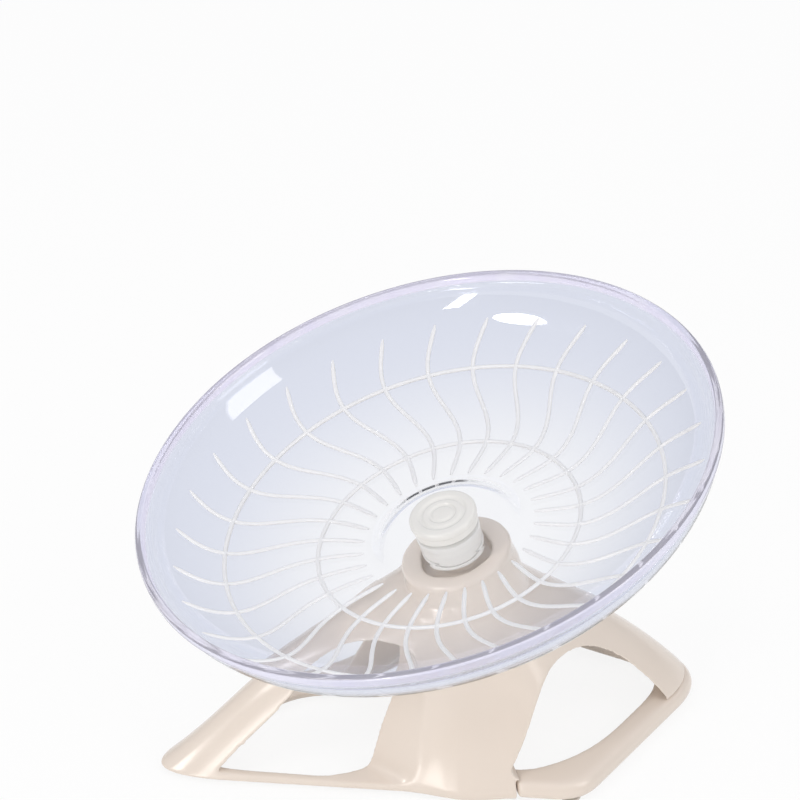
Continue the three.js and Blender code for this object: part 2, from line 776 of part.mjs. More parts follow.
const bearing = new THREE.Group();
bearing.position.z = -(bearingTop + bearingBottom) / 2;
spindle.add(bearing);
addPiece(bearing, 'bearing_inner_race', toGeometry(
  raceSolid(bearingBore / 2, bearingBore / 2 + raceWall),
), bearingSteel);
addPiece(bearing, 'bearing_outer_race', toGeometry(
  raceSolid(bearingOuter / 2, bearingOuter / 2 - raceWall),
), bearingSteel);
addPiece(bearing, 'bearing_cage', toGeometry(cageSolid()), nylon);
for (let i = 0; i < ballCount; i++) {
  const ball = addPiece(bearing, `bearing_ball_${i + 1}`, ballGeometry(), bearingSteel);
  const angle = i * 2 * Math.PI / ballCount;
  ball.position.set(orbitRadius * Math.cos(angle), orbitRadius * Math.sin(angle), 0);
}

// Stand
const stand = standSolid();
addPiece(wheel, 'stand_frame', toGeometry(frameSolid(stand)), ivoryPlastic);
addPiece(wheel, 'rear_hoop', toGeometry(hoopSolid(stand)), ivoryPlastic);
addPiece(wheel, 'hoop_screw', toGeometry(hoopScrewSolid()), zincSteel).position.y = rearFootPlace;

const footPlaces = {
  foot_front: [0, frontFootPlace],
  foot_rear: [0, rearFootPlace],
  foot_left: [sideFootInsets.x - sideReach, sideSetback - sideFootInsets.y],
  foot_right: [sideReach - sideFootInsets.x, sideSetback - sideFootInsets.y],
};
for (const [name, [x, y]] of Object.entries(footPlaces)) {
  addPiece(wheel, name, toGeometry(footSolid()), rubber).position.set(x, y, 0);
}

// Centre the whole over the origin
const extent = new THREE.Box3().setFromObject(wheel, true);
wheel.position.y = -(extent.min.y + extent.max.y) / 2;

export default wheel;
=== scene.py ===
import json
import math

import bmesh
import bpy
from mathutils import Matrix, Vector, geometry

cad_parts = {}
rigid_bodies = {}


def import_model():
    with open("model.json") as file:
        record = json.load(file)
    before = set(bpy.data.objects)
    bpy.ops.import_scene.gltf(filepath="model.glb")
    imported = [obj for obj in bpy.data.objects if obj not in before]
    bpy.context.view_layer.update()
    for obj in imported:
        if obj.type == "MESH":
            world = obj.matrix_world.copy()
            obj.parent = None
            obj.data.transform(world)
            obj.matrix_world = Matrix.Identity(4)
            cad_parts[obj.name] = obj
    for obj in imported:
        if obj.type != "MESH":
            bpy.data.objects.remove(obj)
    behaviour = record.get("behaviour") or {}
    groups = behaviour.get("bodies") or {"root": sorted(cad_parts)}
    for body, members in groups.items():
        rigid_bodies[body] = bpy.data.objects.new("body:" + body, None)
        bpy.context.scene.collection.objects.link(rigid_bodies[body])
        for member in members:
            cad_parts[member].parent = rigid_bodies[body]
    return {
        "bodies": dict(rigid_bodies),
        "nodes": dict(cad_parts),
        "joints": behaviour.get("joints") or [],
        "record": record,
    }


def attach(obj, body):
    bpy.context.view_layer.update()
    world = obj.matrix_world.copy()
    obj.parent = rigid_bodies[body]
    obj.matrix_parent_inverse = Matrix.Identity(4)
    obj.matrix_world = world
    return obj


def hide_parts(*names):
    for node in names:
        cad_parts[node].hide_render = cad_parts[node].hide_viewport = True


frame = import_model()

scene = bpy.context.scene
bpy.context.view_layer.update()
mm = 0.001  # every size below is in millimetres, Blender works in metres
print("frame loaded")

# The tilted spindle, taken from the joint that the dish turns on
spinJoint = next(joint for joint in frame["joints"] if joint["name"] == "dish_spin")
rimCentre = Vector(spinJoint["pos_m"])
spinAxis = Vector(spinJoint["axis"]).normalized()
tilt = math.atan2(-spinAxis.y, spinAxis.z)
spindlePlace = Matrix.Translation(rimCentre) @ Matrix.Rotation(tilt, 4, "X")
forwardShift = rimCentre.y / mm  # the stand is drawn about its own centre line, then moved by this

# Camera, fitted to the dish's rim in the photograph
camera = {
    "azimuth": 76, "elevation": 35.3, "distance": 1183.5,
    "aimRight": -7.34, "aimUp": 18.78, "lens": 180, "sensor": 36, "clipNear": 50, "clipFar": 20000,
}


def placeCamera():
    turn, rise = math.radians(camera["azimuth"]), math.radians(camera["elevation"])
    right = Vector((math.cos(turn), math.sin(turn), 0))
    up = Vector((-math.sin(turn) * math.sin(rise), math.cos(turn) * math.sin(rise), math.cos(rise)))
    back = Vector((math.sin(turn) * math.cos(rise), -math.cos(turn) * math.cos(rise), math.sin(rise)))
    data = bpy.data.cameras.new("camera")
    data.lens, data.sensor_width = camera["lens"], camera["sensor"]
    data.clip_start, data.clip_end = camera["clipNear"] * mm, camera["clipFar"] * mm
    eye = bpy.data.objects.new("camera", data)
    away = right * camera["aimRight"] + up * camera["aimUp"] + back * camera["distance"]
    looking = Matrix((right, up, back)).transposed().to_4x4()
    eye.matrix_world = Matrix.Translation(rimCentre + away * mm) @ looking
    scene.collection.objects.link(eye)
    scene.camera = eye


placeCamera()
print("camera placed")


def linear(hexCode):
    channels = [int(hexCode[i:i + 2], 16) / 255 for i in (1, 3, 5)]
    return [c / 12.92 if c <= 0.04045 else ((c + 0.055) / 1.055) ** 2.4 for c in channels] + [1]


rubLowShare, rubHighShare = 0.3, 0.7  # the part of the noise's range that changes the gloss


def addNode(tree, kind, inputs=None, **settings):
    node = tree.nodes.new(kind)
    for name, value in settings.items():
        setattr(node, name, value)
    for key, value in (inputs or {}).items():
        if isinstance(value, bpy.types.NodeSocket):
            tree.links.new(value, node.inputs[key])
        else:
            node.inputs[key].default_value = value
    return node


def startMaterial(name, **shaderInputs):
    material = bpy.data.materials.new(name)
    material.use_nodes = True
    tree = material.node_tree
    tree.nodes.clear()
    inputs = {key.replace("_", " "): value for key, value in shaderInputs.items()}
    shader = addNode(tree, "ShaderNodeBsdfPrincipled", inputs)
    addNode(tree, "ShaderNodeOutputMaterial", {"Surface": shader.outputs[0]})
    where = addNode(tree, "ShaderNodeTexCoord").outputs["Object"]
    return material, tree, shader, where


def mouldedPlastic(name, look):
    # Injection moulded: a faint orange-peel in the gloss, and slow cloudy change in colour
    material, tree, shader, where = startMaterial(name, IOR=look["ior"])
    cloud = addNode(tree, "ShaderNodeTexNoise", {
        "Vector": where, "Scale": 1 / (look["cloudSize"] * mm), "Detail": 2,
    })
    tone = addNode(tree, "ShaderNodeMix", {
        "Factor": cloud.outputs["Fac"], 6: linear(look["deep"]), 7: linear(look["light"]),
    }, data_type="RGBA")
    rub = addNode(tree, "ShaderNodeTexNoise", {
        "Vector": where, "Scale": 1 / (look["rubSize"] * mm), "Detail": 4,
    })
    gloss = addNode(tree, "ShaderNodeMapRange", {
        "Value": rub.outputs["Fac"], "From Min": rubLowShare, "From Max": rubHighShare,
        "To Min": look["smooth"], "To Max": look["dull"],
    })
    peel = addNode(tree, "ShaderNodeTexNoise", {
        "Vector": where, "Scale": 1 / (look["peelSize"] * mm), "Detail": 1,
    })
    bump = addNode(tree, "ShaderNodeBump", {
        "Height": peel.outputs["Fac"], "Strength": look["peelStrength"], "Distance": look["peelDepth"] * mm,
    })
    tree.links.new(tone.outputs[2], shader.inputs["Base Color"])
    tree.links.new(gloss.outputs[0], shader.inputs["Roughness"])
    tree.links.new(bump.outputs[0], shader.inputs["Normal"])
    return material


# Ivory ABS of the stand: satin, warm, near-white where the light falls
ivoryAbs = mouldedPlastic("ivoryMouldedAbs", {
    "deep": "#e5d8cb", "light": "#eadfd4", "ior": 1.53, "cloudSize": 60, "rubSize": 14,
    "smooth": 0.17, "dull": 0.23, "peelSize": 1.6, "peelStrength": 0.05, "peelDepth": 0.1,
})

# White ABS of the hub: colder and a little glossier than the stand
whiteAbs = mouldedPlastic("whiteMouldedAbs", {
    "deep": "#e7e6e2", "light": "#eeedea", "ior": 1.53, "cloudSize": 12, "rubSize": 4,
    "smooth": 0.17, "dull": 0.24, "peelSize": 1.2, "peelStrength": 0.06, "peelDepth": 0.08,
})

# Natural nylon of the spacer and ball cage: creamy, with a duller, wax-like gloss
naturalNylon = mouldedPlastic("naturalNylon", {
    "deep": "#d8d0bc", "light": "#e3dccb", "ior": 1.53, "cloudSize": 6, "rubSize": 2,
    "smooth": 0.42, "dull": 0.55, "peelSize": 0.8, "peelStrength": 0.1, "peelDepth": 0.08,
})

# Soft rubber of the feet: pale and matt, with a fine grain
footRubber = mouldedPlastic("paleFootRubber", {
    "deep": "#cbc5bb", "light": "#d9d3ca", "ior": 1.52, "cloudSize": 5, "rubSize": 1.5,
    "smooth": 0.75, "dull": 0.9, "peelSize": 0.5, "peelStrength": 0.35, "peelDepth": 0.1,
})


def platedSteel(name, look):
    # Drawn and plated steel: a fine noise in tone and a slight change in gloss
    material, tree, shader, where = startMaterial(name, Metallic=1)
    lines = addNode(tree, "ShaderNodeTexNoise", {
        "Vector": where, "Scale": 1 / (look["lineSize"] * mm), "Detail": 3,
    })
    tone = addNode(tree, "ShaderNodeMix", {
        "Factor": lines.outputs["Fac"], 6: linear(look["deep"]), 7: linear(look["light"]),
    }, data_type="RGBA")
    gloss = addNode(tree, "ShaderNodeMapRange", {
        "Value": lines.outputs["Fac"], "To Min": look["smooth"], "To Max": look["dull"],
    })
    tree.links.new(tone.outputs[2], shader.inputs["Base Color"])
    tree.links.new(gloss.outputs[0], shader.inputs["Roughness"])
    return material


# Zinc-plated axle bolt, clip, washer and screw: bluish grey with a soft sparkle
zincPlate = platedSteel("zincPlatedSteel", {
    "deep": "#a9abae", "light": "#c3c5c8", "lineSize": 0.8, "smooth": 0.28, "dull": 0.42,
})
# Ground and polished bearing steel
bearingSteel = platedSteel("polishedBearingSteel", {
    "deep": "#c2c4c7", "light": "#d2d4d6", "lineSize": 0.5, "smooth": 0.08, "dull": 0.16,
})

# Clear polystyrene of the dish: bends the light strongly, with a cool cast that grows towards the rim
clearLook = {
    "body": "#f8f9fc", "rim": "#dde1ee", "rimStart": 24, "rimEnd": 84, "ior": 1.57,
    "polished": 0.015, "scuffed": 0.06, "scuffSize": 3, "scuffLowShare": 0.45, "scuffHighShare": 0.8,
    "waveSize": 18, "waveStrength": 0.12, "waveDepth": 0.3,
}


def clearPolystyrene():
    material, tree, shader, where = startMaterial(
        "clearPolystyrene", IOR=clearLook["ior"], Transmission_Weight=1.0,
    )
    onSpindle = addNode(tree, "ShaderNodeMapping", {
        "Vector": where, "Location": rimCentre, "Rotation": (tilt, 0, 0),
    }, vector_type="TEXTURE")
    flat = addNode(tree, "ShaderNodeVectorMath", {
        0: onSpindle.outputs[0], 1: (1, 1, 0),
    }, operation="MULTIPLY")
    radius = addNode(tree, "ShaderNodeVectorMath", {0: flat.outputs[0]}, operation="LENGTH")
    rimShare = addNode(tree, "ShaderNodeMapRange", {
        "Value": radius.outputs["Value"], "From Min": clearLook["rimStart"] * mm,
        "From Max": clearLook["rimEnd"] * mm,
    }, interpolation_type="SMOOTHSTEP")
    tone = addNode(tree, "ShaderNodeMix", {
        "Factor": rimShare.outputs[0], 6: linear(clearLook["body"]), 7: linear(clearLook["rim"]),
    }, data_type="RGBA")
    scuff = addNode(tree, "ShaderNodeTexNoise", {
        "Vector": where, "Scale": 1 / (clearLook["scuffSize"] * mm), "Detail": 5,
    })
    gloss = addNode(tree, "ShaderNodeMapRange", {
        "Value": scuff.outputs["Fac"],
        "From Min": clearLook["scuffLowShare"], "From Max": clearLook["scuffHighShare"],
        "To Min": clearLook["polished"], "To Max": clearLook["scuffed"],
    })
    wave = addNode(tree, "ShaderNodeTexNoise", {
        "Vector": where, "Scale": 1 / (clearLook["waveSize"] * mm), "Detail": 1,
    })
    bump = addNode(tree, "ShaderNodeBump", {
        "Height": wave.outputs["Fac"], "Strength": clearLook["waveStrength"],
        "Distance": clearLook["waveDepth"] * mm,
    })
    tree.links.new(tone.outputs[2], shader.inputs["Base Color"])
    tree.links.new(gloss.outputs[0], shader.inputs["Roughness"])
    tree.links.new(bump.outputs[0], shader.inputs["Normal"])
    return material


# The thick lip of the dish: the same plastic, made partly diffuse in violet-white. Besides the rim's own
# violet cast, this is painted light that stands in for the rim's highlights and for the light a clear rim
# carries
lipLook = {
    "deep": "#e5e2fa", "light": "#f4f3fe", "streakSize": 7, "smooth": 0.06, "dull": 0.16, "clearness": 0.55,
}


def paintedGlowLip():
    material, tree, shader, where = startMaterial(
        "paintedGlowLipPolystyrene", IOR=clearLook["ior"], Transmission_Weight=lipLook["clearness"],
    )
    streak = addNode(tree, "ShaderNodeTexNoise", {
        "Vector": where, "Scale": 1 / (lipLook["streakSize"] * mm), "Detail": 3,
    })
    tone = addNode(tree, "ShaderNodeMix", {
        "Factor": streak.outputs["Fac"], 6: linear(lipLook["deep"]), 7: linear(lipLook["light"]),
    }, data_type="RGBA")
    gloss = addNode(tree, "ShaderNodeMapRange", {
        "Value": streak.outputs["Fac"], "To Min": lipLook["smooth"], "To Max": lipLook["dull"],
    })
    tree.links.new(tone.outputs[2], shader.inputs["Base Color"])
    tree.links.new(gloss.outputs[0], shader.inputs["Roughness"])
    return material


# The raised ribs are the same plastic, given a near-white colour that lets little light through, so they
# read as white lines
ribLook = {
    "body": "#ffffff", "shade": "#f1f3f8", "frostSize": 1.2,
    "frost": 0.29, "frostDull": 0.4, "clearness": 0.12,
}


def whiteRib():
    material, tree, shader, where = startMaterial(
        "whiteRibPolystyrene", IOR=clearLook["ior"], Transmission_Weight=ribLook["clearness"],
    )
    grain = addNode(tree, "ShaderNodeTexNoise", {
        "Vector": where, "Scale": 1 / (ribLook["frostSize"] * mm), "Detail": 3,
    })
    tone = addNode(tree, "ShaderNodeMix", {
        "Factor": grain.outputs["Fac"], 6: linear(ribLook["shade"]), 7: linear(ribLook["body"]),
    }, data_type="RGBA")
    gloss = addNode(tree, "ShaderNodeMapRange", {
        "Value": grain.outputs["Fac"], "To Min": ribLook["frost"], "To Max": ribLook["frostDull"],
    })
    tree.links.new(tone.outputs[2], shader.inputs["Base Color"])
    tree.links.new(gloss.outputs[0], shader.inputs["Roughness"])
    return material


clearDish = clearPolystyrene()
lipPaintedGlow = paintedGlowLip()
ribWhite = whiteRib()
print("materials made")


cornerRunShare, cornerSteps = 0.49, 4  # how far a rounding may run along its side, and its steps
axisWidth = 1e-6  # a turned point nearer to the axis than this is a pole


def newPiece(name, mesh, material, sharpAngle=40):
    mesh.materials.clear()
    mesh.materials.append(material)
    mesh.polygons.foreach_set("use_smooth", [True] * len(mesh.polygons))
    mesh.set_sharp_from_angle(angle=math.radians(sharpAngle))
    piece = bpy.data.objects.new(name, mesh)
    scene.collection.objects.link(piece)
    return piece


def roundedCorners(corners, closed):
    # corners are (radius, height, rounding); an arc of a few points replaces each corner
    points = []
    for i, (x, y, rounding) in enumerate(corners):
        here = Vector((x, y))
        if rounding == 0 or (not closed and i in (0, len(corners) - 1)):
            points.append(here)
            continue
        before, after = Vector(corners[i - 1][:2]), Vector(corners[(i + 1) % len(corners)][:2])
        run = min(rounding, (before - here).length * cornerRunShare, (after - here).length * cornerRunShare)
        start = here + (before - here).normalized() * run
        end = here + (after - here).normalized() * run
        for step in range(cornerSteps + 1):
            share = step / cornerSteps
            points.append(start.lerp(here, share).lerp(here.lerp(end, share), share))
    return points


def turnedMesh(name, points, steps, closed):
    # points are (radius, height); one on the axis becomes a single pole
    mesh = bmesh.new()
    rings = []
    angles = [2 * math.pi * i / steps for i in range(steps)]
    for point in points:
        out, height = point.x * mm, point.y * mm
        if point.x < axisWidth:
            rings.append([mesh.verts.new((0, 0, height))] * steps)
            continue
        rings.append([mesh.verts.new((out * math.cos(a), out * math.sin(a), height)) for a in angles])
    pairs = list(zip(rings, rings[1:] + rings[:1])) if closed else list(zip(rings, rings[1:]))
    for low, high in pairs:
        for i in range(steps):
            corners = [low[i], low[(i + 1) % steps], high[(i + 1) % steps], high[i]]
            corners = [v for k, v in enumerate(corners) if v not in corners[:k]]
            if len(corners) > 2:
                mesh.faces.new(corners)
    bmesh.ops.recalc_face_normals(mesh, faces=mesh.faces)
    data = bpy.data.meshes.new(name)
    mesh.to_mesh(data)
    mesh.free()
    return data


def turnedPiece(name, corners, material, steps=96, closed=True, place=spindlePlace):
    mesh = turnedMesh(name, roundedCorners(corners, closed), steps, closed)
    mesh.transform(place)
    return newPiece(name, mesh, material)


# Dish: the same profile as the solid, drawn fine
dish = {
    "radius": 90, "wall": 2, "depth": 28, "floorRadius": 39, "lipWidth": 2.8, "lipDrop": 1.1,
    "rimBand": 3, "rimUndercut": 0.8, "bossRadius": 24.5, "bossTopRadius": 19.5, "bossRise": 3.2,
    "holeRadius": 7.9, "curveSteps": 40, "steps": 240, "sharpAngle": 50,
    "bendShare": 0.245, "bellyShare": 0.68, "lipCrestShare": 0.8, "bossFootShare": 0.5, "bossTopShare": 0.4,
    "holeEdge": 0.3, "bossEdge": 2.2, "bossFootEdge": 2.5, "bossUnderEdge": 2,
    "lipInnerEdge": 0.5, "lipEdge": 1.2, "bandEdge": 0.5, "paintedGlowLap": 0.05, "paintedGlowDrop": 0.6,
}


def bowlPoints():
    out, flat, depth = dish["radius"] - dish["lipWidth"], dish["floorRadius"], dish["depth"]
    knots = [
        Vector((flat, depth)), Vector((flat + (dish["radius"] - flat) * dish["bendShare"], depth)),
        Vector((out, depth * dish["bellyShare"])), Vector((out, dish["lipDrop"])),
    ]
    return geometry.interpolate_bezier(*knots, dish["curveSteps"])


def dishOutline():
    inside = bowlPoints()
    outside = []
    for i, point in enumerate(inside):
        along = inside[min(i + 1, len(inside) - 1)] - inside[max(i - 1, 0)]
        along.normalize()
        moved = Vector((point.x - along.y * dish["wall"], point.y + along.x * dish["wall"]))
        if moved.y > dish["rimBand"] + dish["bandEdge"]:
            outside.append(Vector((min(moved.x, dish["radius"] - dish["rimUndercut"]), moved.y)))
    plateTop = dish["depth"] - dish["bossRise"]
    wall, rim = dish["wall"], dish["radius"]
    hole, bossTop, bossFoot = dish["holeRadius"], dish["bossTopRadius"], dish["bossRadius"]
    holeEdge, footEdge = dish["holeEdge"], dish["bossFootEdge"]
    corners = [(hole, -plateTop, holeEdge), (bossTop, -plateTop, dish["bossEdge"])]
    corners.append((bossFoot, -dish["depth"], footEdge))
    corners += [(point.x, -point.y, 0) for point in inside]
    corners += [
        (rim - dish["lipWidth"] * dish["lipCrestShare"], 0, dish["lipInnerEdge"]),
        (rim, 0, dish["lipEdge"]), (rim, -dish["rimBand"], dish["bandEdge"]),
    ]
    corners += [(point.x, -point.y, 0) for point in reversed(outside)]
    corners += [
        (bossFoot - wall * dish["bossFootShare"], -dish["depth"] - wall, footEdge),
        (bossTop - wall * dish["bossTopShare"], -plateTop - wall, dish["bossUnderEdge"]),
        (hole, -plateTop - wall, holeEdge),
    ]
    return corners


dishOutlinePoints = roundedCorners(dishOutline(), True)
bowlMesh = turnedMesh("dishBowl", dishOutlinePoints, dish["steps"], True)
dishBowl = newPiece("dishBowl", bowlMesh, clearDish, dish["sharpAngle"])
# The lip's faces take the lip material, whose violet-white is partly painted light
bowlMesh.materials.append(lipPaintedGlow)
lipStart = dish["radius"] - dish["lipWidth"] - dish["paintedGlowLap"]
lipFoot = -(dish["rimBand"] + dish["paintedGlowDrop"]) * mm
for face in bowlMesh.polygons:
    if math.hypot(face.center.x, face.center.y) / mm > lipStart and face.center.z > lipFoot:
        face.material_index = 1
dishBowl.visible_shadow = dishBowl.visible_diffuse = False  # clear plastic lets the light by
print("dish turned")

# Ribs: thirty S-curves and two rings that lie on the inside of the bowl
ribs = {
    "count": 30, "phase": 9.2, "inner": 26.5, "outer": 81.8, "sway": 4.1, "lean": 1.7,
    "halfWidth": 0.72, "sink": 0.15, "innerRing": 40.8, "outerRing": 68.2,
    "points": 41, "sides": 12, "ringPoints": 240, "tipShare": 0.45, "fullShare": 0.46, "sharpAngle": 60,
}


def treeInput(tree, name, kind, value):
    socket = tree.interface.new_socket(name, in_out="INPUT", socket_type=kind)
    socket.default_value = value
    return socket.identifier


def onBowl(tree, curve, bowl, position, sink):
    # Drops the curve's points straight down the axis on to the bowl
    ray = addNode(tree, "GeometryNodeRaycast", {
        "Target Geometry": bowl, "Source Position": position, "Ray Direction": (0, 0, -1), "Ray Length": 1,
    })
    lower = addNode(tree, "ShaderNodeCombineXYZ", {"Z": sink})
    landed = addNode(tree, "ShaderNodeVectorMath", {
        0: ray.outputs["Hit Position"], 1: lower.outputs[0],
    }, operation="SUBTRACT")
    moved = addNode(tree, "GeometryNodeSetPosition", {"Geometry": curve, "Position": landed.outputs[0]})
    return moved.outputs[0]


def buildRibTree():
    tree = bpy.data.node_groups.new("bowlRibs", "GeometryNodeTree")
    keys = {
        "count": treeInput(tree, "Rib count", "NodeSocketInt", ribs["count"]),
        "phase": treeInput(tree, "First rib angle", "NodeSocketFloat", 0.0),
        "inner": treeInput(tree, "Inner end radius", "NodeSocketFloat", 0.0),
        "outer": treeInput(tree, "Outer end radius", "NodeSocketFloat", 0.0),
        "sway": treeInput(tree, "Sway angle", "NodeSocketFloat", 0.0),
        "lean": treeInput(tree, "Lean angle", "NodeSocketFloat", 0.0),
        "halfWidth": treeInput(tree, "Half width", "NodeSocketFloat", 0.0),
        "sink": treeInput(tree, "Sink", "NodeSocketFloat", 0.0),
        "innerRing": treeInput(tree, "Inner ring radius", "NodeSocketFloat", 0.0),
        "outerRing": treeInput(tree, "Outer ring radius", "NodeSocketFloat", 0.0),
    }
    tree.interface.new_socket("Geometry", in_out="OUTPUT", socket_type="NodeSocketGeometry")
    given = addNode(tree, "NodeGroupInput").outputs
    bowl = addNode(tree, "GeometryNodeObjectInfo", {"Object": dishBowl}).outputs["Geometry"]

    # One rib, from its inner end (share 0) to its outer end (share 1)
    line = addNode(tree, "GeometryNodeCurvePrimitiveLine")
    fine = addNode(tree, "GeometryNodeResampleCurve", {"Curve": line.outputs[0], "Count": ribs["points"]})
    share = addNode(tree, "GeometryNodeSplineParameter").outputs["Factor"]
    radius = addNode(tree, "ShaderNodeMapRange", {
        "Value": share, "To Min": given["Inner end radius"], "To Max": given["Outer end radius"],
    })
    wave = addNode(tree, "ShaderNodeMath", {0: share, 1: 2 * math.pi}, operation="MULTIPLY")
    bend = addNode(tree, "ShaderNodeMath", {0: wave.outputs[0]}, operation="SINE")
    sway = addNode(tree, "ShaderNodeMath", {
        0: bend.outputs[0], 1: given["Sway angle"],
    }, operation="MULTIPLY")
    lean = addNode(tree, "ShaderNodeMapRange", {
        "Value": share, "To Min": given["Lean angle"], "To Max": 0.0,
    })
    both = addNode(tree, "ShaderNodeMath", {0: sway.outputs[0], 1: lean.outputs[0]}, operation="ADD")
    turn = addNode(tree, "ShaderNodeMath", {0: both.outputs[0], 1: -1.0}, operation="MULTIPLY")
    reach = addNode(tree, "ShaderNodeCombineXYZ", {"X": radius.outputs[0]})
    laid = addNode(tree, "ShaderNodeVectorRotate", {
        "Vector": reach.outputs[0], "Angle": turn.outputs[0],
    }, rotation_type="Z_AXIS")
    path = onBowl(tree, fine.outputs[0], bowl, laid.outputs[0], given["Sink"])

    # The rib thins towards both ends
    fromMiddle = addNode(tree, "ShaderNodeMath", {0: share, 1: 0.5}, operation="SUBTRACT")
    distance = addNode(tree, "ShaderNodeMath", {0: fromMiddle.outputs[0]}, operation="ABSOLUTE")
    thick = addNode(tree, "ShaderNodeMapRange", {
        "Value": distance.outputs[0], "From Min": 0.5, "From Max": ribs["fullShare"],
        "To Min": ribs["tipShare"], "To Max": 1.0,
    })
    section = addNode(tree, "GeometryNodeCurvePrimitiveCircle", {
        "Resolution": ribs["sides"], "Radius": given["Half width"],
    }).outputs[0]
    rib = addNode(tree, "GeometryNodeCurveToMesh", {
        "Curve": path, "Profile Curve": section, "Scale": thick.outputs[0], "Fill Caps": True,
    }).outputs[0]

    # All ribs round the axis
    count = addNode(tree, "GeometryNodePoints", {"Count": given["Rib count"], "Position": (0, 0, 0)})
    index = addNode(tree, "GeometryNodeInputIndex").outputs[0]
    pitch = addNode(tree, "ShaderNodeMath", {0: 2 * math.pi, 1: given["Rib count"]}, operation="DIVIDE")
    angle = addNode(tree, "ShaderNodeMath", {
        0: index, 1: pitch.outputs[0], 2: given["First rib angle"],
    }, operation="MULTIPLY_ADD")
    spin = addNode(tree, "ShaderNodeCombineXYZ", {"Z": angle.outputs[0]})
    around = addNode(tree, "GeometryNodeInstanceOnPoints", {
        "Points": count.outputs[0], "Instance": rib, "Rotation": spin.outputs[0],
    }).outputs[0]

    joined = [around]
    for name in ("Inner ring radius", "Outer ring radius"):
        circle = addNode(tree, "GeometryNodeCurvePrimitiveCircle", {
            "Resolution": ribs["ringPoints"], "Radius": given[name],
        }).outputs[0]
        here = addNode(tree, "GeometryNodeInputPosition").outputs[0]
        track = onBowl(tree, circle, bowl, here, given["Sink"])
        joined.append(addNode(tree, "GeometryNodeCurveToMesh", {
            "Curve": track, "Profile Curve": section,
        }).outputs[0])
    together = addNode(tree, "GeometryNodeJoinGeometry")
    for part in joined:
        tree.links.new(part, together.inputs[0])
    real = addNode(tree, "GeometryNodeRealizeInstances", {0: together.outputs[0]})
    finish = addNode(tree, "GeometryNodeSetMaterial", {"Geometry": real.outputs[0], "Material": ribWhite})
    addNode(tree, "NodeGroupOutput", {"Geometry": finish.outputs[0]})
    return tree, keys


def meshFromTree(name, tree, keys, values):
    # Runs the tree once and keeps its result as a plain mesh
    holder = bpy.data.objects.new(name, bpy.data.meshes.new(name))
    scene.collection.objects.link(holder)
    modifier = holder.modifiers.new("tree", "NODES")
    modifier.node_group = tree
    for key, value in values.items():
        modifier[keys[key]] = value
    view = bpy.context.evaluated_depsgraph_get()
    mesh = bpy.data.meshes.new_from_object(holder.evaluated_get(view))
    mesh.name = name
    holder.modifiers.remove(modifier)
    bpy.data.objects.remove(holder)
    return mesh


ribTree, ribKeys = buildRibTree()
ribMesh = meshFromTree("dishRibs", ribTree, ribKeys, {
    "count": ribs["count"], "phase": math.radians(ribs["phase"]),
    "inner": ribs["inner"] * mm, "outer": ribs["outer"] * mm,
    "sway": math.radians(ribs["sway"]), "lean": math.radians(ribs["lean"]),
    "halfWidth": ribs["halfWidth"] * mm, "sink": ribs["sink"] * mm,
    "innerRing": ribs["innerRing"] * mm, "outerRing": ribs["outerRing"] * mm,
})
dishRibs = newPiece("dishRibs", ribMesh, ribWhite, ribs["sharpAngle"])
for piece in (dishBowl, dishRibs):
    piece.data.transform(spindlePlace)
    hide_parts("saucer")
    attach(piece, "dish")
print("ribs laid on the dish")

# Hub: cap, collar, housing and retainer, all turned; depths are measured down the axis from the rim
hub = {
    "radius": 10, "neckRadius": 7.6, "neckTop": 22.6, "neckBore": 5.6, "collarTop": 22.2, "collarLow": 24.6,
    "capRadius": 10.4, "capTop": 19.9, "capThickness": 2.2, "housingTop": 27.1, "boreTop": 28.4,
    "boreRadius": 6.8, "retainerTop": 33, "retainerThickness": 1.2, "retainerHole": 4.9,
    "plugRadius": 5.3, "plugWall": 1.1, "plugLength": 2, "retainerGap": 0.3, "collarGap": 0.3,
    "capEdge": 1.8, "softEdge": 0.5, "edge": 0.3, "smallEdge": 0.2, "fineEdge": 0.1,
    "capRings": [
        (7.6, 0, 0.4), (7, 0.45, 0.3), (6.3, 0.45, 0.3), (5.8, 0.1, 0.4), (4.4, 0.1, 0.3),
        (4, 0.5, 0.3), (3.4, 0.5, 0.3), (2.8, 0.15, 0.5), (0, 0.05, 0),
    ],
}


def buildHub():
    soft, edge, small, fine = (hub[key] for key in ("softEdge", "edge", "smallEdge", "fineEdge"))
    radius, neck, bore = hub["radius"], hub["neckRadius"], hub["boreRadius"]
    top, under = -hub["capTop"], -hub["capTop"] - hub["capThickness"]
    plug, plugRadius = under - hub["plugLength"], hub["plugRadius"]
    cap = [
        (0, under, 0), (plugRadius - hub["plugWall"], under, 0), (plugRadius - hub["plugWall"], plug, small),
        (plugRadius, plug, edge), (plugRadius, under, small),
        (hub["capRadius"], under, edge), (hub["capRadius"], top, hub["capEdge"]),
    ]
    cap += [(out, top - sunk, rounding) for out, sunk, rounding in hub["capRings"]]
    lid, lidFoot = -hub["retainerTop"], -hub["retainerTop"] - hub["retainerThickness"]
    foot, shoulder, neckTop = lid + hub["retainerGap"], -hub["housingTop"], -hub["neckTop"]
    housing = [
        (bore, foot, fine), (radius, foot, small), (radius, shoulder, soft), (neck, shoulder, fine),
        (neck, neckTop, edge), (hub["neckBore"], neckTop, edge),
        (hub["neckBore"], -hub["boreTop"], fine), (bore, -hub["boreTop"], fine),
    ]
    hole, inner = hub["retainerHole"], neck + hub["collarGap"]
    retainer = [(hole, lidFoot, edge), (radius, lidFoot, soft), (radius, lid, small), (hole, lid, fine)]
    low, high = -hub["collarLow"], -hub["collarTop"]
    collar = [(inner, low, fine), (radius, low, edge), (radius, high, edge), (inner, high, fine)]
    for name, outline, closed, node in (
        ("hubCap", cap, False, "hub_cap"), ("hubHousing", housing, True, "hub_housing"),
        ("bearingRetainer", retainer, True, "bearing_retainer"), ("hubCollar", collar, True, "hub_collar"),
    ):
        piece = turnedPiece(name, outline, whiteAbs, closed=closed)
        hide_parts(node)
        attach(piece, "dish")


buildHub()
print("hub turned")

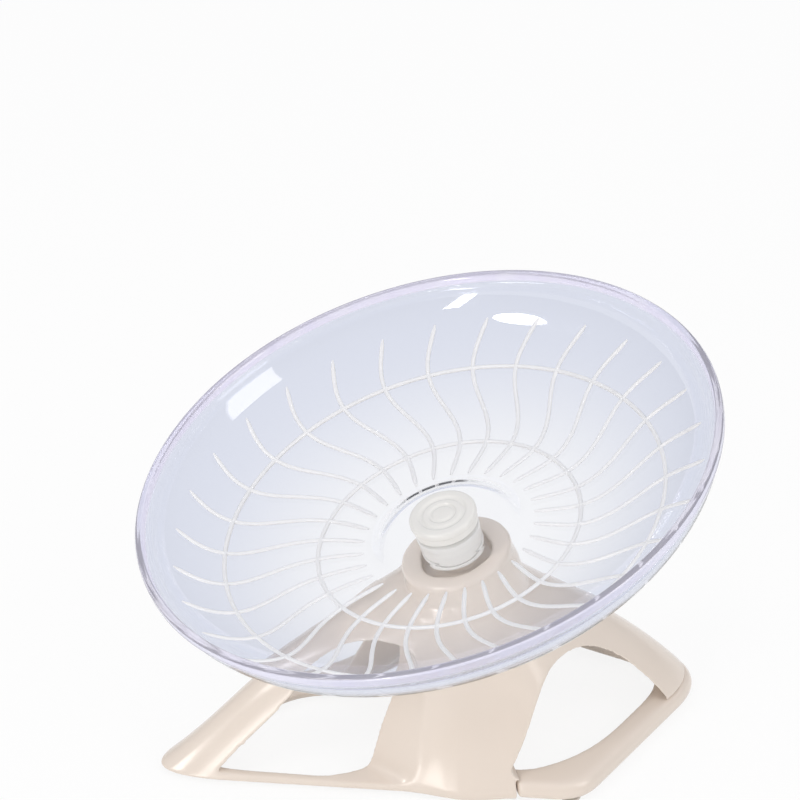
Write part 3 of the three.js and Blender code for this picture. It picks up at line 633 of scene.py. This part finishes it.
# Stand: a tent-shaped shell over a kite plan, pierced by two windows and parted at the hoop
stand = {
    "headRadius": 17.1, "headTop": 36.4, "headFillet": 1.8, "headThickness": 11,
    "frontReach": 83, "rearReach": 86.5, "sideReach": 48.8, "sideSetback": 37.4,
    "frontTipCut": 18.24, "rearTipCut": 7.84, "sideRounding": 9, "insideRounding": 35,
    "frontBand": 2.6, "rearBand": 7, "rootDepth": 12, "rootPlace": -6, "rootReach": 34,
    "footLift": 1.5, "wallRise": 3, "toeRise": 0.6, "frontBulge": 9, "rearBulge": 4.5, "sideHollow": 2,
    "crownPlace": 11.63, "crownHeight": 52.99, "crownRadius": 20.5, "crownWall": 9,
    "pocketRadius": 9.5, "headSkirt": 7, "neckFillet": 2,
    "wellRadius": 10.7, "wellFoot": 10.3, "wellDepth": 3.4, "seatRadius": 4.6, "seatFoot": 5,
    "tentSteps": 24, "tipSteps": 10, "rearSteps": 12, "cornerSteps": 14, "frontSteps": 20,
    "windowReach": 62, "windowSteps": 16, "windowPlanes": 25,
    "hoopFront": 18.5, "hoopSeam": 0.35, "legBarrel": 2.5, "barrelPlace": 3, "barrelReach": 17,
    "rearBendShare": 0.7, "frontBendShare": 0.9, "neckShare": 0.3, "skirtShare": 0.5,
    "filletShares": (1, 0.6, 0.3, 0.1, 0), "cutPast": 1, "boltRadius": 2.5, "shaftSteps": 48,
    "screwPlace": 78.5, "screwRadius": 1.8, "screwLength": 12, "screwHeadRadius": 3.1, "screwHeadDepth": 3.7,
    "voxel": 0.36, "softenRounds": 24, "hoopVoxel": 0.35, "hoopRounds": 6, "smoothShare": 0.5,
    "skinFaces": 180000, "sharpAngle": 80,
}
frontWindow = {
    "front": -67.5, "rear": -4.2, "top": 45, "sill": 3.9, "flare": 0.85, "flareSill": 36, "flareTop": 26,
    "curveShares": [
        ((0.32, 0.45), (0.47, 0.67), (0.61, 1), (0.86, 1)),
        ((0.86, 1), (1.01, 1), (1.02, 0.67), (0.99, 0.35)),
        ((0.99, 0.35), (0.975, 0.13), (0.95, 0), (0.85, 0)),
    ],
}
rearWindow = {
    "front": 17.7, "rear": 74.5, "top": 36.6, "sill": 7.4, "bendSteps": 6,
    "curveShares": [
        ((1, 0), (0.84, 0.48), (0.58, 1), (0.36, 1)),
        ((0.36, 1), (0.16, 1), (0.16, 0.58), (0, 0.1)),
    ],
    "bendShares": ((0, 0.1), (0, 0), (0.07, 0)),
}
crease = {
    "footX": 36, "slope": 0.37, "inside": 9, "y": -9, "reach": 7,
    "bottom": 2.4, "fade": 1.6, "full": 9, "top": 30, "rounds": 120,
}


def quadratic(a, b, c, share):
    return a.lerp(b, share).lerp(b.lerp(c, share), share)


def standPlan(frontInset, rearInset, rounding, swell):
    # Half of the kite from the rear tip to the front tip, then its mirror image
    frontLine = -stand["frontReach"] - stand["frontTipCut"]
    rearLine = stand["rearReach"] + stand["rearTipCut"]
    frontSlope = stand["sideReach"] / (stand["sideSetback"] - frontLine)
    rearSlope = stand["sideReach"] / (rearLine - stand["sideSetback"])
    frontApex = frontLine + frontInset * math.hypot(1, frontSlope) / frontSlope
    rearApex = rearLine - rearInset * math.hypot(1, rearSlope) / rearSlope
    cornerY = (rearApex * rearSlope + frontApex * frontSlope) / (rearSlope + frontSlope)

    def onRear(y):
        return Vector(((rearApex - y) * rearSlope, y))

    def onFront(y):
        return Vector(((y - frontApex) * frontSlope, y))

    rearEnd = onRear(rearApex - 2 * stand["rearTipCut"])
    frontEnd = onFront(frontApex + 2 * stand["frontTipCut"])
    before = onRear(cornerY + rounding * stand["rearBendShare"])
    after = onFront(cornerY - rounding * stand["frontBendShare"])
    rearMirror, frontMirror = Vector((-rearEnd.x, rearEnd.y)), Vector((-frontEnd.x, frontEnd.y))
    rearTop, frontTop = Vector((0, rearApex)), Vector((0, frontApex))
    tip, rear, corner, front = (stand[key] for key in ("tipSteps", "rearSteps", "cornerSteps", "frontSteps"))
    half = [quadratic(rearMirror, rearTop, rearEnd, 0.5 + 0.5 * i / tip) for i in range(tip + 1)]
    half += [rearEnd.lerp(before, i / rear) for i in range(1, rear)]
    half += [quadratic(before, onRear(cornerY), after, i / corner) for i in range(corner + 1)]
    half += [after.lerp(frontEnd, i / front) for i in range(1, front)]
    half += [quadratic(frontEnd, frontTop, frontMirror, 0.5 * i / tip) for i in range(tip + 1)]
    for point in half:
        near = min(1, abs(point.y - stand["rootPlace"]) / stand["rootReach"])
        point.x -= swell * math.cos(near * math.pi / 2) ** 2
        beside = min(1, abs(point.y - stand["barrelPlace"]) / stand["barrelReach"])
        point.x += stand["legBarrel"] * math.cos(beside * math.pi / 2) ** 2
    return half + [Vector((-point.x, point.y)) for point in reversed(half[1:-1])]


def headRing(plan, radius, depth):
    # Circle about the tilted spindle; the stand's own centre line has no forward shift
    centre = Vector((0, 0, rimCentre.z / mm)) - spinAxis * depth
    back = Vector((0, math.cos(tilt), math.sin(tilt)))
    ring = []
    for point in plan:
        angle = math.atan2(point.y - stand["crownPlace"], point.x)
        ring.append(centre + Vector((radius * math.cos(angle), 0, 0)) + back * radius * math.sin(angle))
    return ring


def tentRings(plan, low, topRadius, topHeight):
    rings = [[Vector((point.x, point.y, low)) for point in plan]]
    for step in range(stand["tentSteps"] + 1):
        share = step / stand["tentSteps"]
        even, high = 4 * share * (1 - share), 6.75 * share ** 2 * (1 - share)
        ring = []
        for point in plan:
            out = Vector((point.x, point.y - stand["crownPlace"], 0)).normalized()
            toe = max(0, -out.y) ** 4
            rise = stand["wallRise"] + (stand["toeRise"] - stand["wallRise"]) * toe
            foot = Vector((point.x, point.y, stand["footLift"] + rise))
            top = Vector((0, stand["crownPlace"], topHeight)) + out * topRadius
            ridge = stand["rearBulge"] * even if out.y > 0 else stand["frontBulge"] * high
            bulge = ridge * out.y ** 2 - stand["sideHollow"] * even * out.x ** 2
            ring.append(foot.lerp(top, share) + out * bulge)
        rings.append(ring)
    return rings


def loftedObject(name, rings):
    mesh = bmesh.new()
    loops = [[mesh.verts.new(point * mm) for point in ring] for ring in rings]
    count = len(rings[0])
    for low, high in zip(loops, loops[1:]):
        for i in range(count):
            mesh.faces.new((low[i], low[(i + 1) % count], high[(i + 1) % count], high[i]))
    mesh.faces.new(reversed(loops[0]))
    mesh.faces.new(loops[-1])
    bmesh.ops.recalc_face_normals(mesh, faces=mesh.faces)
    data = bpy.data.meshes.new(name)
    mesh.to_mesh(data)
    mesh.free()
    return linkTool(name, data)


def linkTool(name, data):
    tool = bpy.data.objects.new(name, data)
    scene.collection.objects.link(tool)
    return tool


def cubic(a, b, c, d):
    return geometry.interpolate_bezier(a, b, c, d, stand["windowSteps"])


def windowPoint(window, share):
    # A point of a window's outline from its shares of the window's length and height
    span, rise = window["rear"] - window["front"], window["top"] - window["sill"]
    return Vector((window["front"] + span * share[0], window["sill"] + rise * share[1]))


def windowCurves(window):
    points = []
    for knotShares in window["curveShares"]:
        curve = cubic(*[windowPoint(window, share) for share in knotShares])
        points += curve[1:] if points else curve
    return points


def windowObject(name, outline, lean):
    rings = []
    for i in range(stand["windowPlanes"]):
        x = stand["windowReach"] * (2 * i / (stand["windowPlanes"] - 1) - 1)
        rings.append([Vector((x, point.x + lean(abs(x), point), point.y)) for point in outline])
    return loftedObject(name, rings)


def frontWindowObject():
    front, sill = frontWindow["front"], frontWindow["sill"]
    span, height = frontWindow["rear"] - front, frontWindow["top"] - sill

    def lean(x, point):
        back = min(1, max(0, (point.x - front) / span)) ** 2
        up = (point.y - sill) / height
        plane = frontWindow["flareSill"] + (frontWindow["flareTop"] - frontWindow["flareSill"]) * up
        return frontWindow["flare"] * min(0, x - plane) * back * (1 - up ** 2)

    outline = [windowPoint(frontWindow, (0, 0))] + windowCurves(frontWindow)
    return windowObject("frontWindowCut", outline, lean)


def rearWindowObject():
    start, bend, end = (windowPoint(rearWindow, share) for share in rearWindow["bendShares"])
    steps = rearWindow["bendSteps"]
    outline = windowCurves(rearWindow)
    outline += [quadratic(start, bend, end, i / steps) for i in range(1, steps + 1)]
    return windowObject("rearWindowCut", outline, lambda x, point: 0)


def boxObject(name, low, high):
    mesh = bmesh.new()
    bmesh.ops.create_cube(mesh, size=1)
    size, middle = Vector(high) - Vector(low), (Vector(high) + Vector(low)) / 2
    place = Matrix.Translation(middle * mm) @ Matrix.Diagonal((*(size * mm), 1))
    bmesh.ops.transform(mesh, verts=mesh.verts, matrix=place)
    data = bpy.data.meshes.new(name)
    mesh.to_mesh(data)
    mesh.free()
    return linkTool(name, data)


def shaftObject(name, radius, low, high, place):
    outline = [Vector((0, low)), Vector((radius, low)), Vector((radius, high)), Vector((0, high))]
    mesh = turnedMesh(name, outline, stand["shaftSteps"], False)
    mesh.transform(place)
    return linkTool(name, mesh)


def carved(name, base, cuts, keep=None):
    # Boolean cuts one after another, each result kept as a plain mesh
    result = linkTool(name, base.data.copy())
    for tool, operation in [(cut, "DIFFERENCE") for cut in cuts] + ([(keep, "INTERSECT")] if keep else []):
        modifier = result.modifiers.new("cut", "BOOLEAN")
        modifier.object, modifier.operation, modifier.solver = tool, operation, "EXACT"
        view = bpy.context.evaluated_depsgraph_get()
        mesh = bpy.data.meshes.new_from_object(result.evaluated_get(view))
        result.modifiers.remove(modifier)
        result.data = mesh
    return result


def besideCrease(point):
    # How much of the side leg's front crease is rolled at a point: most near the foot, none above mid height
    x, y, z = abs(point.x / mm), point.y / mm, point.z / mm
    if x < crease["footX"] - crease["slope"] * z - crease["inside"]:
        return 0
    near = max(0, 1 - abs(y - crease["y"]) / crease["reach"])
    low = min(1, max(0, (z - crease["bottom"]) / crease["fade"]))
    high = min(1, max(0, (crease["top"] - z) / (crease["top"] - crease["full"])))
    return near * low * high


def rolledCrease(rough):
    group = rough.vertex_groups.new(name="crease")
    for vertex in rough.data.vertices:
        share = besideCrease(vertex.co)
        if share > 0:
            group.add([vertex.index], share, "REPLACE")
    roll = rough.modifiers.new("roll", "SMOOTH")
    roll.factor, roll.iterations, roll.vertex_group = stand["smoothShare"], crease["rounds"], group.name


def softened(name, rough, voxel, rounds, material):
    # An even skin laid on the carved block, then a few rounds of smoothing give the moulded edges
    block = linkTool("block", rough.data.copy())
    remesh = rough.modifiers.new("skin", "REMESH")
    remesh.mode, remesh.voxel_size = "VOXEL", voxel * mm
    laid = rough.modifiers.new("laid", "SHRINKWRAP")
    laid.target, laid.wrap_method, laid.wrap_mode = block, "NEAREST_SURFACEPOINT", "ON_SURFACE"
    smooth = rough.modifiers.new("soften", "SMOOTH")
    smooth.factor, smooth.iterations = stand["smoothShare"], rounds
    view = bpy.context.evaluated_depsgraph_get()
    skin = bpy.data.meshes.new_from_object(rough.evaluated_get(view))
    rough.modifiers.clear()
    rough.data = skin
    rolledCrease(rough)
    fewer = rough.modifiers.new("fewer", "DECIMATE")
    fewer.ratio = min(1, stand["skinFaces"] / (2 * len(skin.polygons)))
    view = bpy.context.evaluated_depsgraph_get()
    mesh = bpy.data.meshes.new_from_object(rough.evaluated_get(view))
    mesh.name = name
    for tool in (rough, block):
        bpy.data.objects.remove(tool)
    mesh.transform(Matrix.Translation((0, forwardShift * mm, 0)))
    return newPiece(name, mesh, material, stand["sharpAngle"])


def outerRings():
    plan = standPlan(0, 0, stand["sideRounding"], 0)
    head, top, fillet = stand["headRadius"], stand["headTop"], stand["headFillet"]
    rings = tentRings(plan, stand["footLift"], stand["crownRadius"], stand["crownHeight"])
    neckRadius = head + stand["neckFillet"] * stand["neckShare"]
    rings.append(headRing(plan, neckRadius, top + stand["headSkirt"]))
    rings.append(headRing(plan, head, top + stand["headSkirt"] * stand["skirtShare"]))
    for share in stand["filletShares"]:
        inset = fillet * (1 - math.sqrt(1 - (1 - share) ** 2)) if share < 1 else 0
        rings.append(headRing(plan, head - inset, top + fillet * share))
    for radius, sunk in (("wellRadius", 0), ("wellFoot", 1), ("seatFoot", 1), ("seatRadius", 0)):
        rings.append(headRing(plan, stand[radius], top + stand["wellDepth"] * sunk))
    return rings


def cavityRings(seat):
    plan = standPlan(stand["frontBand"], stand["rearBand"], stand["insideRounding"], stand["rootDepth"])
    wall, low = stand["crownWall"], stand["footLift"] - stand["cutPast"]
    rings = tentRings(plan, low, stand["crownRadius"] - wall, stand["crownHeight"] - wall)
    return rings + [headRing(plan, stand["pocketRadius"], seat)]


def buildStand():
    top, past, seam = stand["headTop"], stand["cutPast"], stand["hoopSeam"]
    seat = top + stand["headThickness"]
    onStand = Matrix.Translation((0, 0, rimCentre.z)) @ Matrix.Rotation(tilt, 4, "X")
    boltHole = shaftObject("boltHole", stand["boltRadius"], -seat - past, -top + past, onStand)
    outerBlock = loftedObject("standBlock", outerRings())
    cavityBlock = loftedObject("standCavity", cavityRings(seat))
    frontCut, rearCut = frontWindowObject(), rearWindowObject()
    whole = carved("standWhole", outerBlock, [cavityBlock, frontCut, rearCut, boltHole])
    reach, front, sill = stand["windowReach"], stand["hoopFront"], rearWindow["sill"]
    far = stand["rearReach"] + past
    hoopSpace = boxObject("hoopSpace", (-reach, front, 0), (reach, far, sill))
    hoopKeep = boxObject("hoopKeep", (-reach, front + seam, 0), (reach, far, sill - seam))
    footing = Matrix.Translation((0, stand["screwPlace"] * mm, 0))
    screwHole = shaftObject("screwHole", stand["screwRadius"], 0, stand["screwLength"], footing)
    screwRecess = shaftObject("screwRecess", stand["screwHeadRadius"], 0, stand["screwHeadDepth"], footing)
    frameRough = carved("frameRough", whole, [hoopSpace, screwHole])
    hoopRough = carved("hoopRough", whole, [screwHole, screwRecess], hoopKeep)
    frame = softened("standFrame", frameRough, stand["voxel"], stand["softenRounds"], ivoryAbs)
    hoop = softened("standHoop", hoopRough, stand["hoopVoxel"], stand["hoopRounds"], ivoryAbs)
    for tool in (
        outerBlock, cavityBlock, frontCut, rearCut, boltHole, whole,
        hoopSpace, hoopKeep, screwHole, screwRecess,
    ):
        bpy.data.objects.remove(tool)
    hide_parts("stand_frame")
    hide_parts("rear_hoop")
    for piece in (frame, hoop):
        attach(piece, "stand")
        print(piece.name, len(piece.data.polygons), "faces")


buildStand()
print("stand moulded")

# CAD pieces that keep their own shape get their real finish
finishes = {
    "axle_bolt": zincPlate, "axle_clip": zincPlate, "axle_washer": zincPlate, "hoop_screw": zincPlate,
    "axle_spacer": naturalNylon, "bearing_cage": naturalNylon,
    "bearing_inner_race": bearingSteel, "bearing_outer_race": bearingSteel,
    "foot_front": footRubber, "foot_rear": footRubber, "foot_left": footRubber, "foot_right": footRubber,
}
for i in range(1, 8):
    finishes[f"bearing_ball_{i}"] = bearingSteel
for node, material in finishes.items():
    piece = frame["nodes"][node]
    for materialSlot in piece.material_slots:
        materialSlot.material = material
print("finishes given")

# Floor and light: a pale floor under a white sky, a broad lamp in front, a strip beside it and one behind
studio = {
    "floorSize": 6000, "floor": "#fbfbfa", "glowShare": 0.86, "aimHeight": 50,
    "horizon": 0.22, "zenith": 1.0, "sky": "#f6f7fb", "tone": "#fffaf5",
}
lamps = {
    "key": {"shape": "ELLIPSE", "turn": 15, "rise": 35, "far": 1600, "wide": 500, "high": 320, "power": 5},
    "strip": {
        "shape": "RECTANGLE", "turn": 50, "rise": 10, "far": 1600, "wide": 160, "high": 800, "power": 4.5,
    },
    "back": {
        "shape": "RECTANGLE", "turn": 139, "rise": 34, "far": 1500, "wide": 600, "high": 900, "power": 5,
    },
}


def buildFloor():
    material = bpy.data.materials.new("paleFloor")
    material.use_nodes = True
    tree = material.node_tree
    tree.nodes.clear()
    seen = addNode(tree, "ShaderNodeLightPath").outputs
    direct = addNode(tree, "ShaderNodeMath", {
        0: seen["Is Camera Ray"], 1: seen["Is Glossy Ray"],
    }, operation="MAXIMUM")
    shown = addNode(tree, "ShaderNodeMath", {
        0: direct.outputs[0], 1: seen["Is Transmission Ray"],
    }, operation="MAXIMUM")
    share = addNode(tree, "ShaderNodeMath", {
        0: shown.outputs[0], 1: studio["glowShare"],
    }, operation="MULTIPLY")
    matt = addNode(tree, "ShaderNodeBsdfDiffuse", {"Color": linear(studio["floor"])})
    white = addNode(tree, "ShaderNodeEmission", {"Color": (1, 1, 1, 1), "Strength": 1.0})
    mixed = addNode(tree, "ShaderNodeMixShader", {
        0: share.outputs[0], 1: matt.outputs[0], 2: white.outputs[0],
    })
    addNode(tree, "ShaderNodeOutputMaterial", {"Surface": mixed.outputs[0]})
    half = studio["floorSize"] / 2 * mm
    mesh = bpy.data.meshes.new("floor")
    corners = [(-half, -half, 0), (half, -half, 0), (half, half, 0), (-half, half, 0)]
    mesh.from_pydata(corners, [], [(0, 1, 2, 3)])
    mesh.materials.append(material)
    floor = bpy.data.objects.new("floor", mesh)
    scene.collection.objects.link(floor)


def addLamp(name, look):
    data = bpy.data.lights.new(name, "AREA")
    data.shape, data.energy, data.color = look["shape"], look["power"], linear(studio["tone"])[:3]
    data.size, data.size_y = look["wide"] * mm, look["high"] * mm
    turn, rise = math.radians(look["turn"]), math.radians(look["rise"])
    away = Vector((math.sin(turn) * math.cos(rise), -math.cos(turn) * math.cos(rise), math.sin(rise)))
    lamp = bpy.data.objects.new(name, data)
    lamp.location = (Vector((0, 0, studio["aimHeight"])) + away * look["far"]) * mm
    lamp.rotation_euler = away.to_track_quat("Z", "Y").to_euler()
    scene.collection.objects.link(lamp)


def buildSky():
    world = bpy.data.worlds.new("studio")
    scene.world = world
    world.use_nodes = True
    tree = world.node_tree
    tree.nodes.clear()
    seen = addNode(tree, "ShaderNodeLightPath").outputs
    direct = addNode(tree, "ShaderNodeMath", {
        0: seen["Is Camera Ray"], 1: seen["Is Transmission Ray"],
    }, operation="MAXIMUM")
    toward = addNode(tree, "ShaderNodeTexCoord").outputs["Generated"]
    height = addNode(tree, "ShaderNodeSeparateXYZ", {0: toward}).outputs["Z"]
    strength = addNode(tree, "ShaderNodeMapRange", {
        "Value": height, "To Min": studio["horizon"], "To Max": studio["zenith"],
    }).outputs[0]
    soft = addNode(tree, "ShaderNodeBackground", {"Color": linear(studio["sky"]), "Strength": strength})
    white = addNode(tree, "ShaderNodeBackground", {"Color": (1, 1, 1, 1), "Strength": 1.0})
    mixed = addNode(tree, "ShaderNodeMixShader", {
        0: direct.outputs[0], 1: soft.outputs[0], 2: white.outputs[0],
    })
    addNode(tree, "ShaderNodeOutputWorld", {"Surface": mixed.outputs[0]})


buildFloor()
buildSky()
for name, look in lamps.items():
    addLamp(name + "Lamp", look)
scene.view_settings.view_transform = "Standard"
print("studio lit")
